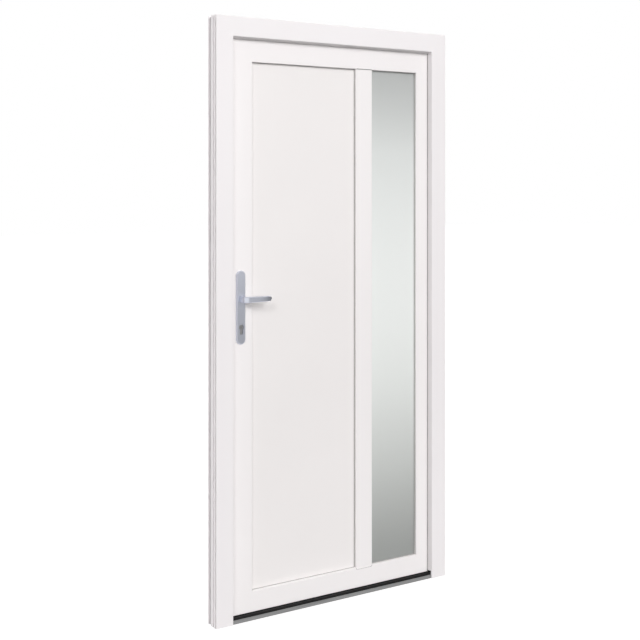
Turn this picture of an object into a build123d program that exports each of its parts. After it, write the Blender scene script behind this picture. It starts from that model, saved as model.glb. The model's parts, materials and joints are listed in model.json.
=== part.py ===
# Inward opening front door of white plastic profiles, with frame, threshold, hinges, lock and levers.
# Millimetres, +X to the right and -Y towards the street as seen from outside, +Z up.
# The origin is the middle of the threshold's underside, half way through the frame's depth.
import os

from build123d import *

os.makedirs("parts", exist_ok=True)

# Frame: two jambs and a head, with a lip on the street side that slopes inward
frame_width = 1000.0
frame_height = 2100.0
frame_depth = 60.0
jamb_face = 66.5
head_face = 70.0
lip_stand = 13.5
lip_thickness = 17.6
lip_slope = 7.0
profile_edge_radius = 1.5
front_edge_radius = 3.0

# Lengthwise grooves in the outer sides of the frame, placed from its front
groove_depth = 6.0
front_groove_setback = 3.0
front_groove_width = 6.5
middle_groove_setback = 16.5
middle_groove_width = 7.0
rear_recess_setback = 38.0
rear_recess_width = 19.0
rear_recess_depth = 5.0

# Leaf: stiles and rails of one section, wider on the lock side
leaf_depth = 60.0
running_clearance = 5.0
rebate_gap = 12.0
leaf_overlap = 20.0
lock_stile_width = 89.4
hinge_stile_width = 61.4
top_rail_width = 84.8
bottom_rail_width = 74.0

# Mullion between the solid panel and the glass
mullion_left = 94.0
mullion_face = 73.5

# Glazing rebate, panes, gaskets and beads
glazing_lip_thickness = 9.0
glazing_cover = 20.0
pane_clearance = 5.0
unit_thickness = 24.0
glass_thickness = 4.0
spacer_width = 11.0
spacer_inset = 3.0
gasket_thickness = 3.0
gasket_cover = 8.0
gasket_show = 1.5
bead_setback = 2.0
bead_chamfer = 6.0

# Seals between frame, leaf and threshold
seal_gap = 0.3
lip_gasket_inset = 1.5
lip_gasket_width = 9.0
overlap_gasket_inset = 2.0
overlap_gasket_width = 5.0
bottom_seal_depth = 8.0
bottom_seal_setback = 14.0
bottom_seal_end_gap = 8.0

# Threshold: aluminium tray with a black thermal break on it
threshold_setback = 3.6
threshold_lap = 4.0
threshold_nose_height = 13.7
threshold_nose_depth = 6.0
threshold_tray = 5.0
threshold_height = 16.5
threshold_rear_depth = 22.0
threshold_edge_radius = 1.0
break_setback = 5.0
break_crest_rise = 3.5
break_crest_depth = 8.8
break_slope_depth = 4.0

# Lever set
backset = 41.0
lever_height = 1119.5
plate_width = 34.5
plate_length = 256.5
plate_above_lever = 99.0
plate_thickness = 8.0
plate_chamfer = 3.0
lever_projection = 39.5
lever_length = 104.0
lever_bend_start = 46.0
lever_return = 7.0
lever_root_height = 21.0
lever_tip_radius = 9.0
lever_thickness = 11.0
lever_elbow_radius = 12.0
lever_outer_chamfer = 2.0
lever_inner_chamfer = 1.0
neck_radius = 8.0
neck_clearance = 0.3
neck_stand = 1.0
spindle_side = 8.0
spindle_hole_radius = 11.0
spindle_socket = 20.0

# Profile cylinder and lock
cylinder_drop = 98.0
cylinder_radius = 8.5
cylinder_tail_width = 10.0
cylinder_height = 33.0
cylinder_sink = 2.5
cylinder_fit = 0.2
plate_hole_margin = 1.0
keyhole_width = 2.5
keyhole_height = 9.0
keyhole_depth = 6.0
faceplate_width = 20.0
faceplate_length = 260.0
faceplate_thickness = 3.0
faceplate_below_lever = 30.0
latch_width = 12.0
latch_height = 32.0
latch_above_lever = 16.0
dead_bolt_width = 10.0
dead_bolt_height = 36.0
bolt_length = 25.0
bolt_stand = 0.5
bolt_fit = 0.3
keep_width = 24.0
keep_length = 240.0
keep_thickness = 3.0
keep_mouth = 4.0

# Hinges, fixed on from inside
hinge_end_distance = 240.0
hinge_offset_x = 8.0
hinge_offset_y = 12.0
hinge_radius = 9.0
hinge_height = 90.0
knuckle_gap = 0.6
knuckle_chamfer = 1.5
pin_radius = 4.5
pin_clearance = 0.2
pin_cover = 5.0
flap_width = 55.0
flap_thickness = 5.0
flap_setback = 7.0
base_width = 31.0
base_thickness = 6.0
web_thickness = 14.0
web_clearance = 6.0

# How closely a corner or an edge must lie to the place it is looked for
match_distance = 0.01

# Places worked out from the sizes
outer_y = -frame_depth / 2
inner_y = frame_depth / 2
lip_back_y = outer_y + lip_thickness
leaf_outer_y = lip_back_y + running_clearance
leaf_inner_y = leaf_outer_y + leaf_depth
flange_y = inner_y + running_clearance
frame_x = frame_width / 2
jamb_body = jamb_face - lip_stand
head_body = head_face - lip_stand
lip_reach = lip_stand + lip_slope
rebate_x = frame_x - jamb_body
rebate_z = frame_height - head_body
leaf_edge_x = rebate_x - rebate_gap
leaf_top_z = rebate_z - rebate_gap
leaf_bottom_z = threshold_height + running_clearance
flange_x = leaf_edge_x + leaf_overlap
flange_z = leaf_top_z + leaf_overlap
opening_left = lock_stile_width - leaf_edge_x
opening_right = leaf_edge_x - hinge_stile_width
opening_top = leaf_top_z - top_rail_width
opening_bottom = leaf_bottom_z + bottom_rail_width
mullion_right = mullion_left + mullion_face
glazing_lip_y = leaf_outer_y + glazing_lip_thickness
unit_outer_y = glazing_lip_y + gasket_thickness
unit_inner_y = unit_outer_y + unit_thickness
bead_outer_y = unit_inner_y + gasket_thickness
bead_inner_y = leaf_inner_y - bead_setback
lever_x = backset - leaf_edge_x
lever_front = plate_thickness + lever_projection
lever_back = lever_front - lever_thickness
lever_middle = lever_front - lever_thickness / 2
cylinder_z = lever_height - cylinder_drop
plate_z = lever_height + plate_above_lever - plate_length / 2
lock_y = (leaf_outer_y + flange_y) / 2
hinge_x = flange_x + hinge_offset_x
hinge_y = leaf_inner_y + hinge_offset_y
hinge_heights = [hinge_end_distance, frame_height / 2, frame_height - hinge_end_distance]
cut_reach = 2 * leaf_depth
nose_y = outer_y + threshold_setback
break_y = outer_y + break_setback
crest_z = threshold_height + break_crest_rise


def save(part, label):
    part.label = label
    export_step(part, f"parts/{label}.step")


# Sections are drawn with x measured inward from the outer edge of the member and y through the door.
def upright_plane(edge_x, low, high):
    if edge_x < 0:
        return Plane(origin=(edge_x, 0, low), x_dir=(1, 0, 0), z_dir=(0, 0, 1))
    return Plane(origin=(edge_x, 0, high), x_dir=(-1, 0, 0), z_dir=(0, 0, -1))


def hanging_plane(edge_z, left):
    return Plane(origin=(left, 0, edge_z), x_dir=(0, 0, -1), z_dir=(1, 0, 0))


def standing_plane(edge_z, right):
    return Plane(origin=(right, 0, edge_z), x_dir=(0, 0, 1), z_dir=(-1, 0, 0))


# A member runs past its corners and is cut to the outline of its mitres, seen from the front.
def member(plane, section, length, outline):
    with BuildPart() as bar:
        with BuildSketch(plane):
            add(section)
        extrude(amount=length)
        with BuildSketch(Plane.XZ):
            Polygon(*outline, align=None)
        extrude(amount=cut_reach, both=True, mode=Mode.INTERSECT)
    return bar.part


def mitre(corner_x, corner_z, steps, way_z):
    way_x = -1 if corner_x > 0 else 1
    return [(corner_x + way_x * across, corner_z + way_z * up) for across, up in steps]


def edge_points(sketch, places):
    return [point for point in sketch.vertices() if any(
        abs(point.X - x) < match_distance and abs(point.Y - y) < match_distance for x, y in places
    )]


def frame_section(face_width):
    body = face_width - lip_stand
    lip_tip = face_width + lip_slope
    with BuildSketch() as section:
        Polygon(
            (0, outer_y),
            (face_width, outer_y),
            (lip_tip, lip_back_y),
            (body, lip_back_y),
            (body, inner_y),
            (0, inner_y),
            align=None,
        )
        fillet(edge_points(section, [(0, outer_y), (face_width, outer_y)]), front_edge_radius)
        round_places = [(lip_tip, lip_back_y), (0, inner_y), (body, inner_y)]
        fillet(edge_points(section, round_places), profile_edge_radius)
        for setback, width, depth in (
            (front_groove_setback, front_groove_width, groove_depth),
            (middle_groove_setback, middle_groove_width, groove_depth),
            (rear_recess_setback, rear_recess_width, rear_recess_depth),
        ):
            with Locations((0, outer_y + setback)):
                Rectangle(2 * depth, width, align=(Align.CENTER, Align.MIN), mode=Mode.SUBTRACT)
    return section.sketch


def leaf_section(width, overlap):
    total = width + overlap
    seat = total - glazing_cover
    corners = [
        (overlap, leaf_outer_y),
        (total, leaf_outer_y),
        (total, glazing_lip_y),
        (seat, glazing_lip_y),
        (seat, leaf_inner_y),
        (0, leaf_inner_y),
    ]
    if overlap > 0:
        corners = corners + [(0, flange_y), (overlap, flange_y)]
    with BuildSketch() as section:
        Polygon(*corners, align=None)
        fillet(edge_points(section, [(total, leaf_outer_y)]), front_edge_radius)
        round_places = [(overlap, leaf_outer_y), (0, leaf_inner_y)]
        fillet(edge_points(section, round_places), profile_edge_radius)
    return section.sketch


# Frame
frame_steps = [
    (0, 0),
    (groove_depth, groove_depth),
    (jamb_body, head_body),
    (jamb_body + lip_reach, head_body + lip_reach),
]


# The feet of the jambs are cut out for the nose of the threshold and for the thermal break above it.
def jamb_with_threshold_notch(edge_x):
    inner_edge = mitre(edge_x, 0, [(jamb_body + lip_reach, 0), (0, 0)], 1)
    outline = mitre(edge_x, frame_height, frame_steps, -1) + inner_edge
    way = 1 if edge_x < 0 else -1
    with BuildPart() as jamb:
        add(member(upright_plane(edge_x, 0, frame_height), frame_section(jamb_face), frame_height, outline))
        for inset, front_y, top_z in (
            (jamb_face - threshold_lap, nose_y - seal_gap, threshold_nose_height),
            (jamb_face, break_y - seal_gap, crest_z + seal_gap),
        ):
            notch_x = edge_x + way * inset
            with BuildSketch(Plane.XY):
                Polygon(
                    (notch_x, front_y),
                    (notch_x + way * cut_reach, front_y),
                    (notch_x + way * cut_reach, inner_y),
                    (notch_x, inner_y),
                    align=None,
                )
            extrude(amount=top_z, mode=Mode.SUBTRACT)
    return jamb.part


frame_lock_jamb = jamb_with_threshold_notch(-frame_x)
save(frame_lock_jamb, "frame_lock_jamb")
frame_hinge_jamb = jamb_with_threshold_notch(frame_x)
save(frame_hinge_jamb, "frame_hinge_jamb")

head_left = mitre(-frame_x, frame_height, frame_steps, -1)
head_right = mitre(frame_x, frame_height, frame_steps, -1)
frame_head = member(
    hanging_plane(frame_height, -frame_x),
    frame_section(head_face),
    frame_width,
    head_left + head_right[::-1],
)
save(frame_head, "frame_head")


# Threshold. Its ends stop in the notches of the jambs' feet, and reach the rebate behind the lips.
def threshold_plan(front_x):
    rear_x = rebate_x - seal_gap
    right = [
        (front_x, outer_y),
        (front_x, lip_back_y + seal_gap),
        (rear_x, lip_back_y + seal_gap),
        (rear_x, inner_y),
    ]
    return right + [(-x, y) for x, y in right[::-1]]


lap_x = frame_x - jamb_face + threshold_lap - seal_gap
rear_block_y = inner_y - threshold_rear_depth
with BuildPart() as threshold_base:
    with BuildSketch(Plane.YZ.offset(-rebate_x)):
        Polygon(
            (nose_y, 0),
            (inner_y, 0),
            (inner_y, threshold_height),
            (rear_block_y, threshold_height),
            (rear_block_y, threshold_tray),
            (nose_y + threshold_nose_depth, threshold_tray),
            (nose_y + threshold_nose_depth, threshold_nose_height),
            (nose_y, threshold_nose_height),
            align=None,
        )
    extrude(amount=2 * rebate_x)
    with BuildSketch(Plane.XY):
        Polygon(*threshold_plan(lap_x), align=None)
    extrude(amount=threshold_height, mode=Mode.INTERSECT)
    upper_front = threshold_base.edges().filter_by(Axis.X).group_by(Axis.Y)[0].sort_by(Axis.Z)[-1]
    fillet(upper_front, threshold_edge_radius)
save(threshold_base.part, "threshold_base")

crest_start_y = break_y + break_slope_depth
crest_end_y = crest_start_y + break_crest_depth
lip_front_x = frame_x - jamb_face - seal_gap
with BuildPart() as threshold_break:
    with BuildSketch(Plane.YZ.offset(-rebate_x)):
        Polygon(
            (nose_y + threshold_nose_depth, threshold_tray),
            (rear_block_y, threshold_tray),
            (rear_block_y, threshold_height),
            (crest_end_y + break_crest_rise, threshold_height),
            (crest_end_y, crest_z),
            (crest_start_y, crest_z),
            (break_y, threshold_height),
            (break_y, threshold_nose_height),
            (nose_y + threshold_nose_depth, threshold_nose_height),
            align=None,
        )
    extrude(amount=2 * rebate_x)
    with BuildSketch(Plane.XY):
        Polygon(*threshold_plan(lip_front_x), align=None)
    extrude(amount=crest_z, mode=Mode.INTERSECT)
save(threshold_break.part, "threshold_thermal_break")


# Leaf
def upper_leaf_steps(width):
    return [
        (0, 0),
        (leaf_overlap, leaf_overlap),
        (width, top_rail_width),
        (width + leaf_overlap, top_rail_width + leaf_overlap),
    ]


def lower_leaf_steps(width):
    return [
        (0, 0),
        (leaf_overlap, 0),
        (width, bottom_rail_width - glazing_cover),
        (width + leaf_overlap, bottom_rail_width),
    ]


def cylinder_outline(clearance):
    with BuildSketch() as outline:
        Circle(cylinder_radius + clearance)
        tail_radius = cylinder_tail_width / 2
        tail_z = cylinder_radius + tail_radius - cylinder_height
        with Locations((0, tail_z / 2)):
            Rectangle(cylinder_tail_width + 2 * clearance, -tail_z)
        with Locations((0, tail_z)):
            Circle(tail_radius + clearance)
    return outline.sketch


def facing_street(x, y, z):
    return Plane(origin=(x, y, z), x_dir=(1, 0, 0), z_dir=(0, -1, 0))


def facing_house(x, y, z):
    return Plane(origin=(x, y, z), x_dir=(-1, 0, 0), z_dir=(0, 1, 0))


def edge_plane(x, z):
    return Plane(origin=(x, lock_y, z), x_dir=(0, 1, 0), z_dir=(1, 0, 0))


faceplate_z = lever_height - faceplate_below_lever
latch_z = lever_height + latch_above_lever
dead_bolt_z = cylinder_z

top_left = mitre(-flange_x, flange_z, upper_leaf_steps(lock_stile_width), -1)
top_right = mitre(flange_x, flange_z, upper_leaf_steps(hinge_stile_width), -1)
bottom_left = mitre(-flange_x, leaf_bottom_z, lower_leaf_steps(lock_stile_width), 1)
bottom_right = mitre(flange_x, leaf_bottom_z, lower_leaf_steps(hinge_stile_width), 1)
with BuildPart() as leaf_lock_stile:
    add(member(
        upright_plane(-flange_x, leaf_bottom_z, flange_z),
        leaf_section(lock_stile_width, leaf_overlap),
        flange_z - leaf_bottom_z,
        top_left + bottom_left[::-1],
    ))
    with BuildSketch(facing_street(lever_x, leaf_outer_y, lever_height)):
        Circle(spindle_hole_radius)
        with Locations((0, -cylinder_drop)):
            add(cylinder_outline(cylinder_fit))
    extrude(amount=-leaf_depth, mode=Mode.SUBTRACT)
    with BuildSketch(edge_plane(-leaf_edge_x, faceplate_z)):
        Rectangle(faceplate_width, faceplate_length)
    extrude(amount=faceplate_thickness, mode=Mode.SUBTRACT)
    for z, width, height in (
        (latch_z, latch_width, latch_height),
        (dead_bolt_z, dead_bolt_width, dead_bolt_height),
    ):
        with BuildSketch(edge_plane(-leaf_edge_x, z)):
            Rectangle(width + 2 * bolt_fit, height + 2 * bolt_fit)
        extrude(amount=bolt_length, mode=Mode.SUBTRACT)
save(leaf_lock_stile.part, "leaf_lock_stile")

leaf_hinge_stile = member(
    upright_plane(flange_x, leaf_bottom_z, flange_z),
    leaf_section(hinge_stile_width, leaf_overlap),
    flange_z - leaf_bottom_z,
    top_right + bottom_right[::-1],
)
save(leaf_hinge_stile, "leaf_hinge_stile")

leaf_top_rail = member(
    hanging_plane(flange_z, -flange_x),
    leaf_section(top_rail_width, leaf_overlap),
    2 * flange_x,
    top_left + top_right[::-1],
)
save(leaf_top_rail, "leaf_top_rail")

leaf_bottom_rail = member(
    standing_plane(leaf_bottom_z, flange_x),
    leaf_section(bottom_rail_width, 0),
    2 * flange_x,
    bottom_left[1:] + bottom_right[:0:-1],
)
save(leaf_bottom_rail, "leaf_bottom_rail")

with BuildPart() as leaf_mullion:
    with BuildSketch(Plane.XY.offset(opening_bottom)) as mullion_front:
        with Locations((mullion_left, leaf_outer_y)):
            Rectangle(mullion_face, glazing_lip_thickness, align=(Align.MIN, Align.MIN))
        fillet(mullion_front.vertices().group_by(Axis.Y)[0], front_edge_radius)
    extrude(amount=opening_top - opening_bottom)
    with BuildSketch(Plane.XY.offset(opening_bottom - glazing_cover)):
        with Locations((mullion_left + glazing_cover, glazing_lip_y)):
            Rectangle(
                mullion_face - 2 * glazing_cover,
                leaf_inner_y - glazing_lip_y,
                align=(Align.MIN, Align.MIN),
            )
    extrude(amount=opening_top - opening_bottom + 2 * glazing_cover)
save(leaf_mullion.part, "leaf_mullion")


# Panel, glass, gaskets and beads in the two openings of the leaf
def upright_slab(left, right, low, high, front_y, back_y):
    with BuildPart() as slab:
        with BuildSketch(facing_house(0, front_y, 0)):
            with Locations((-right, low)):
                Rectangle(right - left, high - low, align=(Align.MIN, Align.MIN))
        extrude(amount=back_y - front_y)
    return slab.part


def ring(left, right, low, high, grow, shrink, front_y, back_y):
    with BuildPart() as band:
        add(upright_slab(left - grow, right + grow, low - grow, high + grow, front_y, back_y))
        add(
            upright_slab(left + shrink, right - shrink, low + shrink, high - shrink, front_y, back_y),
            mode=Mode.SUBTRACT,
        )
    return band.part


pane_cover = glazing_cover - pane_clearance
unit_low = opening_bottom - pane_cover
unit_high = opening_top + pane_cover
infill_panel = upright_slab(
    opening_left - pane_cover, mullion_left + pane_cover, unit_low, unit_high, unit_outer_y, unit_inner_y
)
save(infill_panel, "infill_panel")

glass_left = mullion_right - pane_cover
glass_right = opening_right + pane_cover
glass_outer_pane = upright_slab(
    glass_left, glass_right, unit_low, unit_high, unit_outer_y, unit_outer_y + glass_thickness
)
save(glass_outer_pane, "glass_outer_pane")
glass_inner_pane = upright_slab(
    glass_left, glass_right, unit_low, unit_high, unit_inner_y - glass_thickness, unit_inner_y
)
save(glass_inner_pane, "glass_inner_pane")
glass_spacer = ring(
    glass_left + spacer_inset,
    glass_right - spacer_inset,
    unit_low + spacer_inset,
    unit_high - spacer_inset,
    0,
    spacer_width,
    unit_outer_y + glass_thickness,
    unit_inner_y - glass_thickness,
)
save(glass_spacer, "glass_spacer")

with BuildSketch() as bead_section:
    Polygon(
        (0, bead_outer_y),
        (glazing_cover, bead_outer_y),
        (glazing_cover, bead_inner_y - bead_chamfer),
        (glazing_cover - bead_chamfer, bead_inner_y),
        (0, bead_inner_y),
        align=None,
    )

for opening, left, right in (
    ("panel", opening_left, mullion_left),
    ("glass", mullion_right, opening_right),
):
    for place, front_y, back_y in (
        ("outer", glazing_lip_y, unit_outer_y),
        ("inner", unit_inner_y, bead_outer_y),
    ):
        gasket = ring(
            left, right, opening_bottom, opening_top, gasket_cover, gasket_show, front_y, back_y
        )
        save(gasket, f"{opening}_{place}_gasket")
    seat_left = left - glazing_cover
    seat_right = right + glazing_cover
    seat_low = opening_bottom - glazing_cover
    seat_high = opening_top + glazing_cover
    low_right = [(seat_right, seat_low), (right, opening_bottom)]
    high_right = [(seat_right, seat_high), (right, opening_top)]
    low_left = [(seat_left, seat_low), (left, opening_bottom)]
    high_left = [(seat_left, seat_high), (left, opening_top)]
    for side, plane, length, outline in (
        (
            "lock_side",
            Plane(origin=(seat_left, 0, seat_low), x_dir=(1, 0, 0), z_dir=(0, 0, 1)),
            seat_high - seat_low,
            low_left + high_left[::-1],
        ),
        (
            "hinge_side",
            Plane(origin=(seat_right, 0, seat_high), x_dir=(-1, 0, 0), z_dir=(0, 0, -1)),
            seat_high - seat_low,
            low_right + high_right[::-1],
        ),
        (
            "top",
            hanging_plane(seat_high, seat_left),
            seat_right - seat_left,
            high_left + high_right[::-1],
        ),
        (
            "bottom",
            standing_plane(seat_low, seat_right),
            seat_right - seat_left,
            low_left + low_right[::-1],
        ),
    ):
        save(member(plane, bead_section.sketch, length, outline), f"{opening}_bead_{side}")


# Seals: under the lip of the frame, on the overlap of the leaf and under the leaf
def seal_band(outer_x, outer_z, width, low, front_y, back_y):
    with BuildPart() as band:
        add(upright_slab(-outer_x, outer_x, low, outer_z, front_y, back_y))
        add(
            upright_slab(width - outer_x, outer_x - width, low, outer_z - width, front_y, back_y),
            mode=Mode.SUBTRACT,
        )
    return band.part


lip_end = jamb_body + lip_reach - lip_gasket_inset
frame_gasket = seal_band(
    frame_x - lip_end + lip_gasket_width,
    frame_height - head_body - lip_reach + lip_gasket_inset + lip_gasket_width,
    lip_gasket_width,
    crest_z + seal_gap,
    lip_back_y,
    leaf_outer_y - seal_gap,
)
save(frame_gasket, "frame_gasket")

leaf_gasket = seal_band(
    flange_x - overlap_gasket_inset,
    flange_z - overlap_gasket_inset,
    overlap_gasket_width,
    leaf_bottom_z,
    inner_y + seal_gap,
    flange_y,
)
save(leaf_gasket, "leaf_gasket")

bottom_seal_y = leaf_outer_y + bottom_seal_setback
bottom_seal_x = leaf_edge_x - bottom_seal_end_gap
leaf_bottom_seal = upright_slab(
    -bottom_seal_x,
    bottom_seal_x,
    threshold_height + seal_gap,
    leaf_bottom_z,
    bottom_seal_y,
    bottom_seal_y + bottom_seal_depth,
)
save(leaf_bottom_seal, "leaf_bottom_seal")


# Lever set. Each plate and lever is drawn on the face of the leaf that carries it, and stands off it.
def backplate(plane):
    away = Axis(plane.origin, plane.z_dir)
    with BuildPart() as plate:
        with BuildSketch(plane):
            with Locations((0, plate_z - lever_height)):
                SlotOverall(plate_length, plate_width, rotation=90)
        extrude(amount=plate_thickness)
        chamfer(plate.faces().sort_by(away)[-1].edges(), plate_chamfer)
        with BuildSketch(plane):
            Circle(neck_radius + neck_clearance)
            with Locations((0, -cylinder_drop)):
                add(cylinder_outline(plate_hole_margin))
        extrude(amount=plate_thickness, mode=Mode.SUBTRACT)
    return plate.part


# A flat bar, bent out of the plate and then back towards the door at its tip, on a round neck that
# turns in the plate. It runs towards the hinges on both sides of the door.
def lever(plane, plan_way):
    away = Axis(plane.origin, plane.z_dir)
    plan = Plane(origin=plane.origin, x_dir=(1, 0, 0), z_dir=(0, 0, plan_way))
    with BuildPart() as handle:
        with BuildSketch(plan):
            with BuildLine():
                elbow_start = (0, lever_middle - lever_elbow_radius)
                elbow_end = (lever_elbow_radius, lever_middle)
                bend_start = (lever_bend_start, lever_middle)
                Line((0, plate_thickness + neck_stand), elbow_start)
                TangentArc(elbow_start, elbow_end, tangent=(0, 1))
                Line(elbow_end, bend_start)
                TangentArc(bend_start, (lever_length, lever_middle - lever_return), tangent=(1, 0))
            trace(line_width=lever_thickness)
        extrude(amount=lever_root_height, both=True)
        with BuildSketch(Plane(origin=plane.origin, x_dir=(1, 0, 0), z_dir=(0, -1, 0))):
            Rectangle(lever_thickness, lever_root_height)
            with Locations((lever_length - lever_tip_radius, 0)):
                Circle(lever_tip_radius)
            make_hull()
        extrude(amount=lever_front, both=True, mode=Mode.INTERSECT)
        for distance, size in ((lever_front, lever_outer_chamfer), (lever_back, lever_inner_chamfer)):
            level = handle.edges().filter_by_position(
                away, distance - match_distance, distance + match_distance
            )
            chamfer(level.filter_by(Axis.Z, reverse=True), size)
        with BuildSketch(plane.offset(seal_gap)):
            Circle(neck_radius)
        extrude(amount=plate_thickness + neck_stand - seal_gap)
        with BuildSketch(plane):
            Rectangle(spindle_side, spindle_side)
        extrude(amount=spindle_socket, mode=Mode.SUBTRACT)
    return handle.part


street_side = facing_street(lever_x, leaf_outer_y, lever_height)
house_side = facing_house(lever_x, leaf_inner_y, lever_height)
outer_backplate = backplate(street_side)
save(outer_backplate, "outer_backplate")
inner_backplate = backplate(house_side)
save(inner_backplate, "inner_backplate")
outer_lever = lever(street_side, -1)
save(outer_lever, "outer_lever")
inner_lever = lever(house_side, 1)
save(inner_lever, "inner_lever")

with BuildPart() as handle_spindle:
    with BuildSketch(street_side.offset(spindle_socket)):
        Rectangle(spindle_side, spindle_side)
    extrude(amount=-leaf_depth - 2 * spindle_socket)
save(handle_spindle.part, "handle_spindle")

cylinder_overhang = plate_thickness - cylinder_sink
with BuildPart() as lock_cylinder:
    with BuildSketch(facing_street(lever_x, leaf_outer_y - cylinder_overhang, cylinder_z)):
        add(cylinder_outline(0))
    extrude(amount=-leaf_depth - 2 * cylinder_overhang)
    for plane in (
        facing_street(lever_x, leaf_outer_y - cylinder_overhang, cylinder_z),
        facing_house(lever_x, leaf_inner_y + cylinder_overhang, cylinder_z),
    ):
        with BuildSketch(plane):
            Rectangle(keyhole_width, keyhole_height)
        extrude(amount=-keyhole_depth, mode=Mode.SUBTRACT)
save(lock_cylinder.part, "lock_cylinder")

bolts = (
    ("latch_bolt", latch_z, latch_width, latch_height),
    ("dead_bolt", dead_bolt_z, dead_bolt_width, dead_bolt_height),
)
with BuildPart() as lock_faceplate:
    with BuildSketch(edge_plane(-leaf_edge_x, faceplate_z)):
        Rectangle(faceplate_width, faceplate_length)
        for name, z, width, height in bolts:
            with Locations((0, z - faceplate_z)):
                Rectangle(width + 2 * bolt_fit, height + 2 * bolt_fit, mode=Mode.SUBTRACT)
    extrude(amount=faceplate_thickness)
save(lock_faceplate.part, "lock_faceplate")

for name, z, width, height in bolts:
    with BuildPart() as bolt:
        with BuildSketch(edge_plane(-leaf_edge_x - bolt_stand, z)):
            Rectangle(width, height)
        extrude(amount=bolt_length)
    save(bolt.part, name)

with BuildPart() as lock_keep:
    with BuildSketch(edge_plane(-rebate_x, faceplate_z)):
        Rectangle(keep_width, keep_length)
        for name, z, width, height in bolts:
            with Locations((0, z - faceplate_z)):
                Rectangle(width + 2 * keep_mouth, height + 2 * keep_mouth, mode=Mode.SUBTRACT)
    extrude(amount=keep_thickness)
save(lock_keep.part, "lock_keep")


# Hinges: the lower knuckle stands on the frame, the upper one is carried by the leaf.
knuckle_height = (hinge_height - knuckle_gap) / 2
web_left = flange_x + web_clearance


def knuckle(low, outer_end_z):
    with BuildPart() as barrel:
        with BuildSketch(Plane.XY.offset(low)):
            with Locations((hinge_x, hinge_y)):
                Circle(hinge_radius)
        extrude(amount=knuckle_height)
        ends = barrel.edges().filter_by(GeomType.CIRCLE)
        chamfer(ends.sort_by(lambda edge: abs(edge.center().Z - outer_end_z))[0], knuckle_chamfer)
    return barrel.part


def hinge_frame_part(middle_z):
    bottom_z = middle_z - hinge_height / 2
    with BuildPart() as hinge_part:
        add(knuckle(bottom_z, bottom_z))
        with BuildSketch(Plane.XY.offset(bottom_z + knuckle_chamfer)):
            Polygon(
                (web_left, inner_y),
                (web_left + web_thickness, inner_y),
                (hinge_x + hinge_radius, hinge_y),
                (web_left, hinge_y),
                align=None,
            )
        extrude(amount=knuckle_height - 2 * knuckle_chamfer)
        with BuildSketch(Plane.XZ.offset(-inner_y)):
            with Locations((web_left, bottom_z)):
                Rectangle(base_width, hinge_height, align=(Align.MIN, Align.MIN))
        extrude(amount=-base_thickness)
        with BuildSketch(Plane.XY.offset(bottom_z + pin_cover)):
            with Locations((hinge_x, hinge_y)):
                Circle(pin_radius)
        extrude(amount=knuckle_height, mode=Mode.SUBTRACT)
    return hinge_part.part


def hinge_leaf_part(middle_z):
    bottom_z = middle_z - hinge_height / 2
    upper_z = middle_z + knuckle_gap / 2
    top_z = middle_z + hinge_height / 2
    flap_right = flange_x - flap_setback
    with BuildPart() as hinge_part:
        add(knuckle(upper_z, top_z))
        with BuildSketch(Plane.XY.offset(upper_z + knuckle_chamfer)):
            Polygon(
                (flap_right - flap_thickness, leaf_inner_y),
                (flange_x - profile_edge_radius, leaf_inner_y),
                (hinge_x, hinge_y - hinge_radius),
                (hinge_x, hinge_y + hinge_radius),
                (flap_right - flap_thickness, leaf_inner_y + flap_thickness),
                align=None,
            )
        extrude(amount=knuckle_height - 2 * knuckle_chamfer)
        with BuildSketch(Plane.XZ.offset(-leaf_inner_y)):
            with Locations((flap_right, bottom_z)):
                Rectangle(flap_width, hinge_height, align=(Align.MAX, Align.MIN))
        extrude(amount=-flap_thickness)
        with BuildSketch(Plane.XY.offset(middle_z)):
            with Locations((hinge_x, hinge_y)):
                Circle(pin_radius + pin_clearance)
        extrude(amount=hinge_height / 2 - pin_cover, mode=Mode.SUBTRACT)
    return hinge_part.part


pin_length = hinge_height - 2 * pin_cover - seal_gap
for number, middle_z in enumerate(hinge_heights, start=1):
    save(hinge_frame_part(middle_z), f"hinge_{number}_frame_part")
    save(hinge_leaf_part(middle_z), f"hinge_{number}_leaf_part")
with BuildPart() as hinge_pins:
    for middle_z in hinge_heights:
        with BuildSketch(Plane.XY.offset(middle_z - hinge_height / 2 + pin_cover)):
            with Locations((hinge_x, hinge_y)):
                Circle(pin_radius)
        extrude(amount=pin_length)
save(hinge_pins.part, "hinge_pins")
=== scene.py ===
# White plastic front door in its frame: finishes, small fastenings, light and camera.
import json
import math

import bmesh
import bpy
from mathutils import Matrix, Vector


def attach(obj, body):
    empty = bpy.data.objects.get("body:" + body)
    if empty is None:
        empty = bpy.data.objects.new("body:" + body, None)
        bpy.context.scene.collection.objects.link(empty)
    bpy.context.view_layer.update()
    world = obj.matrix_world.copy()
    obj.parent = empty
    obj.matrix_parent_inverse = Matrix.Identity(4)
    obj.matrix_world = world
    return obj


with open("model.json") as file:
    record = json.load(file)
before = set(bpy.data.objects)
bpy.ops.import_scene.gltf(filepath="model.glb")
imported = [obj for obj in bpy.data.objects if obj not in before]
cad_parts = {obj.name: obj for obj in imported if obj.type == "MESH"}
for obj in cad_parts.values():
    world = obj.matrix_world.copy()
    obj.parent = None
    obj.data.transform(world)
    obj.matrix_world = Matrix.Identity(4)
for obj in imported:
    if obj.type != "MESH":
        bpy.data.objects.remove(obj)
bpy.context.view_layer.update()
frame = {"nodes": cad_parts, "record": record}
nodes = frame["nodes"]


# Camera: level, because the photograph's uprights are parallel, with the horizon above the picture's middle
PICTURE = 640
FOCAL_PX = 1129.5
HORIZON_PX = 185.7
SENSOR = 36.0
CAMERA_PLACE = (-2.278, -3.467, 1.514)
CAMERA_YAW = 32.61

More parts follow.
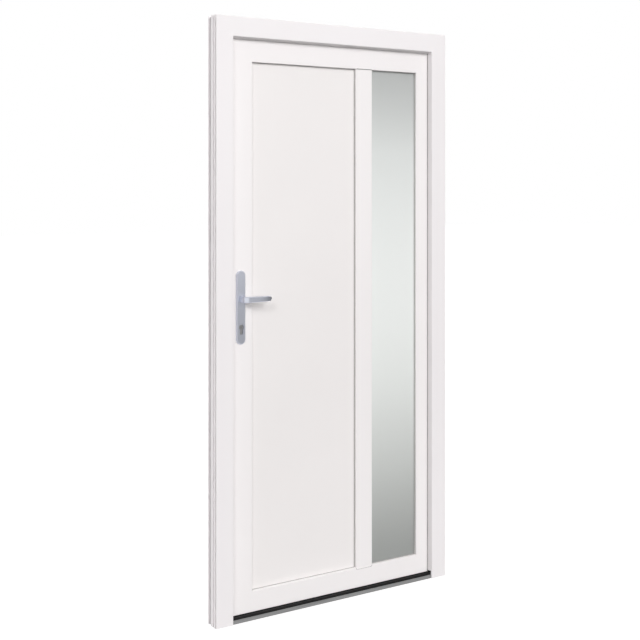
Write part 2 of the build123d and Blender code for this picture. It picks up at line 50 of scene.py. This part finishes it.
camera_data = bpy.data.cameras.new("camera")
camera_data.sensor_width = SENSOR
camera_data.lens = FOCAL_PX / PICTURE * SENSOR
camera_data.shift_y = (HORIZON_PX - PICTURE / 2) / PICTURE
camera = bpy.data.objects.new("camera", camera_data)
camera.location = CAMERA_PLACE
camera.rotation_euler = (math.radians(90), 0, -math.radians(CAMERA_YAW))
bpy.context.scene.collection.objects.link(camera)
bpy.context.scene.camera = camera


# Materials, with stretches of their textures: a share below 1 draws a texture out along that axis
ALL_WAYS = (1, 1, 1)
UPRIGHT = (1, 1, 0.1)
UPRIGHT_FINE = (1, 1, 0.05)
LEVEL = (0.1, 1, 1)
LEVEL_FINE = (0.03, 1, 1)
WHITE = (1, 1, 1, 1)
REFRACTION = 1.5
WEAK_REFRACTION = 1.33


def srgb(red, green, blue):
    def linear(value):
        value = value / 255
        return value / 12.92 if value <= 0.04045 else ((value + 0.055) / 1.055) ** 2.4

    return (linear(red), linear(green), linear(blue), 1.0)


class Shader:
    """A material with its nodes, and short ways to add and join them."""

    def __init__(self, name):
        self.material = bpy.data.materials.new(name)
        self.material.use_nodes = True
        self.tree = self.material.node_tree
        self.bsdf = self.tree.nodes["Principled BSDF"]
        self.place = None

    def node(self, kind):
        return self.tree.nodes.new(kind)

    def join(self, source, target):
        self.tree.links.new(source, target)

    def coordinates(self, stretch):
        if self.place is None:
            self.place = self.node("ShaderNodeTexCoord")
        mapping = self.node("ShaderNodeMapping")
        mapping.inputs["Scale"].default_value = stretch
        self.join(self.place.outputs["Object"], mapping.inputs["Vector"])
        return mapping.outputs["Vector"]

    def noise(self, scale, detail, stretch=ALL_WAYS):
        texture = self.node("ShaderNodeTexNoise")
        texture.inputs["Scale"].default_value = scale
        texture.inputs["Detail"].default_value = detail
        self.join(self.coordinates(stretch), texture.inputs["Vector"])
        return texture.outputs["Fac"]

    def height(self, low, high):
        """0 at one height of the object and 1 at the other."""
        split = self.node("ShaderNodeSeparateXYZ")
        self.join(self.coordinates(ALL_WAYS), split.inputs["Vector"])
        share = self.node("ShaderNodeMapRange")
        share.inputs["From Min"].default_value = low
        share.inputs["From Max"].default_value = high
        self.join(split.outputs["Z"], share.inputs["Value"])
        return share.outputs["Result"]

    def color(self, source, stops, interpolation="LINEAR"):
        """Base colour that follows a source through the stops of a ramp."""
        ramp = self.node("ShaderNodeValToRGB")
        ramp.color_ramp.interpolation = interpolation
        ramp.color_ramp.elements[0].position = stops[0][0]
        ramp.color_ramp.elements[0].color = stops[0][1]
        ramp.color_ramp.elements[1].position = stops[-1][0]
        ramp.color_ramp.elements[1].color = stops[-1][1]
        for position, tone in stops[1:-1]:
            ramp.color_ramp.elements.new(position).color = tone
        self.join(source, ramp.inputs["Fac"])
        self.join(ramp.outputs["Color"], self.bsdf.inputs["Base Color"])

    def roughness(self, source, low, high):
        scale = self.node("ShaderNodeMapRange")
        scale.inputs["To Min"].default_value = low
        scale.inputs["To Max"].default_value = high
        self.join(source, scale.inputs["Value"])
        self.join(scale.outputs["Result"], self.bsdf.inputs["Roughness"])

    def bump(self, source, distance):
        bump = self.node("ShaderNodeBump")
        bump.inputs["Distance"].default_value = distance
        self.join(source, bump.inputs["Height"])
        self.join(bump.outputs["Normal"], self.bsdf.inputs["Normal"])

    def set(self, **values):
        """Values for the principled shader's own sockets, with _ for each space in their names."""
        for key, value in values.items():
            self.bsdf.inputs[key.replace("_", " ")].default_value = value

    def surface(self, source):
        """Puts another shader in the place of the principled one."""
        self.join(source, self.tree.nodes["Material Output"].inputs["Surface"])
        self.tree.nodes.remove(self.bsdf)


def plastic(name, color, shade, roughness, lengthwise=ALL_WAYS):
    """Extruded or skinned plastic: nearly even colour, faint lengthwise drawing lines and a soft gloss."""
    spread = 0.015
    made = Shader(name)
    made.color(made.noise(scale=3.0, detail=4.0), [(0.3, color), (0.7, shade)])
    made.roughness(made.noise(scale=7.0, detail=2.0), roughness - spread, roughness + spread)
    made.bump(made.noise(scale=350.0, detail=3.0, stretch=lengthwise), distance=0.000003)
    made.set(IOR=REFRACTION)
    return made.material


def rubber(name, color, shade, index=REFRACTION):
    made = Shader(name)
    made.color(made.noise(scale=60.0, detail=4.0), [(0.3, color), (0.7, shade)])
    made.roughness(made.noise(scale=120.0, detail=2.0), low=0.55, high=0.75)
    made.bump(made.noise(scale=700.0, detail=2.0), distance=0.00005)
    made.set(IOR=index)
    return made.material


def metal(name, color, shade, roughness, stretch):
    grain = 400.0
    spread = 0.06
    made = Shader(name)
    made.color(made.noise(scale=grain, detail=3.0, stretch=stretch), [(0.25, color), (0.75, shade)])
    gloss = made.noise(scale=grain, detail=2.0, stretch=stretch)
    made.roughness(gloss, roughness - spread, roughness + spread)
    made.bump(made.noise(scale=grain, detail=2.0, stretch=stretch), distance=0.00001)
    made.set(Metallic=1.0)
    return made.material


# Painted light: the frosted pane's colour is brightest a little above its middle and greyer towards both of
# its ends, a painted gradient of the blurred surroundings seen through and in the pane.
GLASS_LOW = 0.06
GLASS_HIGH = 1.94
GLASS_PAINTED_LIGHT_TONES = [
    (0.0, srgb(126, 128, 126)),
    (0.3, srgb(235, 238, 235)),
    (0.56, srgb(253, 255, 253)),
    (0.84, srgb(233, 236, 234)),
    (1.0, srgb(181, 183, 182)),
]


def etched_glass(name):
    made = Shader(name)
    # The base colour follows the height as painted light: grey at both ends, brightest a little above the
    # middle.
    made.color(made.height(GLASS_LOW, GLASS_HIGH), GLASS_PAINTED_LIGHT_TONES, "B_SPLINE")
    made.roughness(made.noise(scale=600.0, detail=3.0), low=0.42, high=0.55)
    made.bump(made.noise(scale=1500.0, detail=3.0), distance=0.00003)
    made.set(IOR=REFRACTION, Transmission_Weight=0.1)
    return made.material


def clear_glass(name):
    made = Shader(name)
    made.color(made.noise(scale=2.0, detail=2.0), [(0.3, srgb(252, 254, 253)), (0.7, srgb(250, 253, 252))])
    made.roughness(made.noise(scale=8.0, detail=2.0), low=0.01, high=0.03)
    made.set(IOR=REFRACTION, Transmission_Weight=1.0)
    return made.material


FRAME_WHITE = (srgb(247, 243, 244), srgb(245, 241, 242))
FRAME_ROUGHNESS = 0.34
LEAF_WHITE = (srgb(248, 244, 244), srgb(246, 242, 242))
LEAF_ROUGHNESS = 0.32

materials = {
    "frame_plastic": plastic("frame_plastic", *FRAME_WHITE, FRAME_ROUGHNESS, UPRIGHT),
    "leaf_plastic": plastic("leaf_plastic", *LEAF_WHITE, LEAF_ROUGHNESS, UPRIGHT),
    "panel_skin": plastic("panel_skin", srgb(244, 240, 239), srgb(242, 238, 237), 0.38),
    "grey_gasket": rubber("grey_gasket", srgb(184, 181, 180), srgb(175, 173, 172)),
    "satin_glass": etched_glass("satin_glass"),
    "clear_glass": clear_glass("clear_glass"),
    "spacer_metal": metal("spacer_metal", srgb(200, 200, 202), srgb(186, 186, 188), 0.4, UPRIGHT_FINE),
    "handle_metal": metal("handle_metal", srgb(217, 220, 231), srgb(210, 213, 224), 0.36, ALL_WAYS),
    "lock_steel": metal("lock_steel", srgb(198, 198, 200), srgb(180, 180, 182), 0.3, UPRIGHT),
    "threshold_metal": metal("threshold_metal", srgb(153, 153, 153), srgb(138, 138, 138), 0.42, LEVEL_FINE),
    "threshold_black": rubber("threshold_black", srgb(24, 24, 24), srgb(18, 18, 18), WEAK_REFRACTION),
    "hinge_white": plastic("hinge_white", srgb(245, 242, 241), srgb(243, 240, 239), 0.38),
}

# Members that lie level have their drawing lines level too.
level_materials = {
    "frame_plastic": plastic("frame_plastic_level", *FRAME_WHITE, FRAME_ROUGHNESS, LEVEL),
    "leaf_plastic": plastic("leaf_plastic_level", *LEAF_WHITE, LEAF_ROUGHNESS, LEVEL),
}
LEVEL_MEMBERS = ("head", "top", "bottom")


def finish_nodes():
    for entry in frame["record"]["subparts"]:
        name, slot_name = entry["node"], entry["material_slot"]
        chosen = materials[slot_name]
        if slot_name in level_materials and any(word in name.split("_") for word in LEVEL_MEMBERS):
            chosen = level_materials[slot_name]
        node = nodes[name]
        if not node.material_slots:
            node.data.materials.append(None)
        for slot in node.material_slots:
            slot.material = chosen


finish_nodes()


# Small pieces, drawn in millimetres and then set in place. All but the pads sink a little into a surface.
MM = 0.001
SINK = 0.03


def circle(radius, count):
    turns = [2 * math.pi * step / count for step in range(count)]
    return [(radius * math.cos(turn), radius * math.sin(turn)) for turn in turns]


def rectangle(width, height):
    across, up = width / 2, height / 2
    return [(-across, -up), (across, -up), (across, up), (-across, up)]


def cross(reach, half):
    arm = [(reach, -half), (reach, half), (half, half)]
    outline = []
    for _ in range(4):
        outline += arm
        arm = [(-y, x) for x, y in arm]
    return outline


def ring(made, outline, height, middle=(0, 0)):
    return [made.verts.new((middle[0] + x, middle[1] + y, height)) for x, y in outline]


def wall(made, lower, upper):
    for here in range(len(lower)):
        ahead = (here + 1) % len(lower)
        made.faces.new((lower[here], lower[ahead], upper[ahead], upper[here]))


def cover(made, *rings):
    """Faces over the area inside the first ring and outside the others."""
    edges = []
    for points in rings:
        for here in range(len(points)):
            pair = (points[here - 1], points[here])
            edges.append(made.edges.get(pair) or made.edges.new(pair))
    bmesh.ops.triangle_fill(made, edges=edges, use_beauty=True)


def prism(made, low, high):
    wall(made, low, high)
    made.faces.new(low)
    made.faces.new(high)


def turned(origin, across, up):
    """Place whose X runs across and whose Y runs up, both unit vectors, with Z away from the surface."""
    across, up = Vector(across), Vector(up)
    place = Matrix((across, up, across.cross(up))).transposed().to_4x4()
    place.translation = Vector(origin) * MM
    return place @ Matrix.Scale(MM, 4)


def piece(name, body, slot_name, made, place):
    bmesh.ops.recalc_face_normals(made, faces=made.faces[:])
    made.transform(place)
    mesh = bpy.data.meshes.new(name)
    made.to_mesh(mesh)
    made.free()
    mesh.materials.append(materials[slot_name])
    thing = bpy.data.objects.new(name, mesh)
    bpy.context.scene.collection.objects.link(thing)
    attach(thing, body)


# Across and up on a surface, by what it faces
TO_HOUSE = ((-1, 0, 0), (0, 0, 1))
TO_STREET = ((1, 0, 0), (0, 0, 1))
TO_LOCK = ((0, -1, 0), (0, 0, 1))
TO_HINGE = ((0, 1, 0), (0, 0, 1))


# Countersunk screws, with a cross recess whose arms' reach and half width are shares of the head's radius
SCREW_SIDES = 24
HEAD_RISE = 0.5
HEAD_SLOPE = 0.3
RECESS_TOP = (0.55, 0.13)
RECESS_FLOOR = (0.5, 0.1)
RECESS_FLOOR_RISE = 0.08

# A face is the middle of the surface that takes the screws, and spots run across and up from it.
HINGE_HEIGHTS = (240, 1050, 1860)
FLAP_FACE = (420, 57.6)
FLAP_SPOTS = [(x, z) for x in (-14, 14) for z in (-29, 29)]
FLAP_SCREW = 3.8
BASE_FACE = (483.4, 36)
BASE_SPOTS = [(0, -33), (0, 33)]
BASE_SCREW = 3.4
INNER_PLATE_FACE = (-394, 60.6, 1090.25)
INNER_PLATE_SPOTS = [(0, -112), (0, 112)]
INNER_PLATE_SCREW = 3.4
FACEPLATE_FACE = (-435, 13.8, 1089.5)
FACEPLATE_SPOTS = [(0, -122), (0, 122)]
KEEP_FACE = (-444, 13.8, 1089.5)
KEEP_SPOTS = [(0, -112), (0, 112)]
EDGE_SCREW = 3.0


def recess(radius, shares):
    reach, half = shares
    return cross(radius * reach, radius * half)


def screws(name, body, spots, radius, place):
    """Screw heads at the spots of one flat surface."""
    made = bmesh.new()
    for spot in spots:
        foot = ring(made, circle(radius, SCREW_SIDES), -SINK, spot)
        rim = ring(made, circle(radius - HEAD_SLOPE, SCREW_SIDES), HEAD_RISE, spot)
        recess_top = ring(made, recess(radius, RECESS_TOP), HEAD_RISE, spot)
        recess_floor = ring(made, recess(radius, RECESS_FLOOR), RECESS_FLOOR_RISE, spot)
        wall(made, foot, rim)
        wall(made, recess_floor, recess_top)
        cover(made, rim, recess_top)
        cover(made, recess_floor)
        made.faces.new(foot)
    piece(name, body, "lock_steel", made, place)


for number, height in enumerate(HINGE_HEIGHTS, 1):
    flap_place = turned((*FLAP_FACE, height), *TO_HOUSE)
    screws(f"hinge_{number}_leaf_screws", "leaf", FLAP_SPOTS, FLAP_SCREW, flap_place)
    base_place = turned((*BASE_FACE, height), *TO_HOUSE)
    screws(f"hinge_{number}_frame_screws", "frame", BASE_SPOTS, BASE_SCREW, base_place)
inner_plate_place = turned(INNER_PLATE_FACE, *TO_HOUSE)
screws("inner_plate_screws", "leaf", INNER_PLATE_SPOTS, INNER_PLATE_SCREW, inner_plate_place)
screws("faceplate_screws", "leaf", FACEPLATE_SPOTS, EDGE_SCREW, turned(FACEPLATE_FACE, *TO_LOCK))
screws("keep_screws", "frame", KEEP_SPOTS, EDGE_SCREW, turned(KEEP_FACE, *TO_HINGE))


# Round faces of the cylinder's turning part, with the keyway left open
PLUG_SIDES = 40
PLUG_RADIUS = 6.4
PLUG_RISE = 0.4
PLUG_SLOPE = 0.2
KEYWAY = (2.6, 9.2)
OUTER_PLUG_FACE = (-393.95, -12.9, 1021.5)
INNER_PLUG_FACE = (-393.95, 58.1, 1021.5)


def cylinder_plug(name, place):
    made = bmesh.new()
    foot = ring(made, circle(PLUG_RADIUS, PLUG_SIDES), -SINK)
    rim = ring(made, circle(PLUG_RADIUS - PLUG_SLOPE, PLUG_SIDES), PLUG_RISE)
    low_slot = ring(made, rectangle(*KEYWAY), -SINK)
    high_slot = ring(made, rectangle(*KEYWAY), PLUG_RISE)
    wall(made, foot, rim)
    wall(made, low_slot, high_slot)
    cover(made, rim, high_slot)
    cover(made, foot, low_slot)
    piece(name, "leaf", "lock_steel", made, place)


cylinder_plug("outer_cylinder_plug", turned(OUTER_PLUG_FACE, *TO_STREET))
cylinder_plug("inner_cylinder_plug", turned(INNER_PLUG_FACE, *TO_HOUSE))


# A fine joint line runs round each end of the mullion, where it is let into a rail.
SEAM_WIDTH = 1.4
SEAM_RISE = 0.12
SEAM_CORNER = 3.0
MULLION_FACE = (95.0, 166.5)
MULLION_FRONT = (0, -7.4, 0)


def seam(name, opening_edge, joint):
    left, right = MULLION_FACE
    middle = (left + right) / 2
    corner = math.copysign(SEAM_CORNER, opening_edge - joint)
    inset = math.copysign(SEAM_WIDTH, corner)
    path = [(left, opening_edge), (left, joint + corner), (left + SEAM_CORNER, joint)]
    path += [(right - SEAM_CORNER, joint), (right, joint + corner), (right, opening_edge)]
    inner = [(x + math.copysign(SEAM_WIDTH, middle - x), z + inset) for x, z in path]
    inner[0] = (inner[0][0], opening_edge)
    inner[-1] = (inner[-1][0], opening_edge)
    outline = path + inner[::-1]
    made = bmesh.new()
    prism(made, ring(made, outline, -SINK), ring(made, outline, SEAM_RISE))
    piece(name, "leaf", "grey_gasket", made, turned(MULLION_FRONT, *TO_STREET))


seam("mullion_foot_seam", opening_edge=95.0, joint=87.8)
seam("mullion_top_seam", opening_edge=1947.2, joint=1949.5)


# Rubber pads that close the corners between the threshold and the lips of the jambs
PAD_FRONT = (431.7, -25.5)
PAD_BACK = (426.6, -12.6)
PAD_THICKNESS = 1.2
PAD_FRONT_FOOT = 16.4
PAD_BACK_FOOT = 19.9
PAD_TOP = 28.0


def end_pad(name, side):
    """Pad in the frame's own axes, on the slope of the black part: side -1 at the lock, 1 at the hinges."""
    front_x, front_y = PAD_FRONT
    back_x, back_y = PAD_BACK
    outline = [
        (side * front_x, front_y),
        (side * back_x, back_y),
        (side * (back_x - PAD_THICKNESS), back_y),
        (side * (front_x - PAD_THICKNESS), front_y),
    ]
    feet = [PAD_FRONT_FOOT, PAD_BACK_FOOT, PAD_BACK_FOOT, PAD_FRONT_FOOT]
    made = bmesh.new()
    low = [made.verts.new((x, y, foot)) for (x, y), foot in zip(outline, feet)]
    prism(made, low, ring(made, outline, PAD_TOP))
    piece(name, "frame", "threshold_black", made, Matrix.Scale(MM, 4))


end_pad("threshold_pad_lock_side", -1)
end_pad("threshold_pad_hinge_side", 1)


# Floor and surroundings, white as the camera sees them and darker as a light on the door
FLOOR_REACH = 30.0
FLOOR_GLOW = 0.86
FLOOR_LIT = srgb(138, 138, 138)
FLOOR_DARK = srgb(70, 70, 70)
SKY_LEVEL = 0.3


def seen_ray(tree):
    """1 where the camera looks at a surface, directly, in a reflection or through glass."""
    path = tree.nodes.new("ShaderNodeLightPath")
    seen = path.outputs["Is Camera Ray"]
    for kind in ("Is Glossy Ray", "Is Transmission Ray"):
        either = tree.nodes.new("ShaderNodeMath")
        either.operation = "MAXIMUM"
        tree.links.new(seen, either.inputs[0])
        tree.links.new(path.outputs[kind], either.inputs[1])
        seen = either.outputs["Value"]
    return seen


def floor_material():
    shader = Shader("floor")
    seen = shader.node("ShaderNodeAddShader")
    glow = shader.node("ShaderNodeEmission")
    glow.inputs["Strength"].default_value = FLOOR_GLOW
    lit = shader.node("ShaderNodeBsdfDiffuse")
    lit.inputs["Color"].default_value = FLOOR_LIT
    dark = shader.node("ShaderNodeBsdfDiffuse")
    dark.inputs["Color"].default_value = FLOOR_DARK
    choice = shader.node("ShaderNodeMixShader")
    shader.join(glow.outputs[0], seen.inputs[0])
    shader.join(lit.outputs[0], seen.inputs[1])
    shader.join(seen_ray(shader.tree), choice.inputs["Fac"])
    shader.join(dark.outputs[0], choice.inputs[1])
    shader.join(seen.outputs[0], choice.inputs[2])
    shader.surface(choice.outputs[0])
    return shader.material


def floor():
    signs = [(-1, -1), (1, -1), (1, 1), (-1, 1)]
    mesh = bpy.data.meshes.new("floor")
    mesh.from_pydata([(x * FLOOR_REACH, y * FLOOR_REACH, 0) for x, y in signs], [], [(0, 1, 2, 3)])
    mesh.materials.append(floor_material())
    made = bpy.data.objects.new("floor", mesh)
    bpy.context.scene.collection.objects.link(made)


def surroundings():
    world = bpy.data.worlds.new("studio")
    bpy.context.scene.world = world
    world.use_nodes = True
    tree = world.node_tree
    light = tree.nodes["Background"]
    light.inputs["Color"].default_value = WHITE
    light.inputs["Strength"].default_value = SKY_LEVEL
    white = tree.nodes.new("ShaderNodeBackground")
    white.inputs["Color"].default_value = WHITE
    choice = tree.nodes.new("ShaderNodeMixShader")
    tree.links.new(seen_ray(tree), choice.inputs["Fac"])
    tree.links.new(light.outputs[0], choice.inputs[1])
    tree.links.new(white.outputs[0], choice.inputs[2])
    tree.links.new(choice.outputs[0], tree.nodes["World Output"].inputs["Surface"])


# Dark cards that show only in reflections, to shade the metal
HANDLE_PLACE = (-0.394, -0.03)

# Name, azimuth and distance from the handle, width, lowest point, highest point and grey level
CARDS = [
    ("low_card", 30, 2.0, 1.5, 0.0, 1.0, 0.36),
    ("side_card", 80, 2.2, 2.6, 0.0, 2.4, 0.05),
]


def dark_card(name, azimuth, distance, width, bottom, top, grey):
    turn = math.radians(azimuth)
    way = Vector((math.sin(turn), -math.cos(turn)))
    across = Vector((math.cos(turn), math.sin(turn))) * width / 2
    middle = Vector(HANDLE_PLACE) + way * distance
    points = [(*spot, z) for z in (bottom, top) for spot in (middle - across, middle + across)]
    mesh = bpy.data.meshes.new(name)
    mesh.from_pydata(points, [], [(0, 1, 3, 2)])
    shader = Shader(name)
    glow = shader.node("ShaderNodeEmission")
    glow.inputs["Color"].default_value = (grey, grey, grey, 1)
    shader.surface(glow.outputs[0])
    mesh.materials.append(shader.material)
    card = bpy.data.objects.new(name, mesh)
    card.visible_camera = False
    card.visible_diffuse = False
    card.visible_transmission = False
    card.visible_shadow = False
    bpy.context.scene.collection.objects.link(card)


# Lamps, far and wide. Name, azimuth from the street side towards the hinges, elevation, width and level
LAMPS = [
    ("front", 5, 8, 50, 0.62),
    ("key_left", -45, 28, 14, 0.20),
    ("key_middle", -5, 30, 14, 0.14),
    ("key_right", 35, 28, 14, 0.08),
    ("left", -148, 10, 16, 0.84),
    ("right", 85, 6, 40, 0.10),
    ("rear", 115, 12, 60, 0.28),
]


def soft_lamp(name, azimuth, elevation, width, level):
    """At level 1 it would show, alone, a surface that faces it in the surface's own colour."""
    data = bpy.data.lights.new(name, "SUN")
    data.angle = math.radians(width)
    data.energy = math.pi * level
    turn = math.radians(azimuth)
    rise = math.radians(elevation)
    way = Vector((math.sin(turn) * math.cos(rise), -math.cos(turn) * math.cos(rise), math.sin(rise)))
    lamp = bpy.data.objects.new(name, data)
    lamp.rotation_euler = (-way).to_track_quat("-Z", "Y").to_euler()
    lamp.visible_glossy = False
    bpy.context.scene.collection.objects.link(lamp)


floor()
surroundings()
for card_facts in CARDS:
    dark_card(*card_facts)
for lamp_facts in LAMPS:
    soft_lamp(*lamp_facts)

bpy.context.scene.view_settings.view_transform = "Standard"
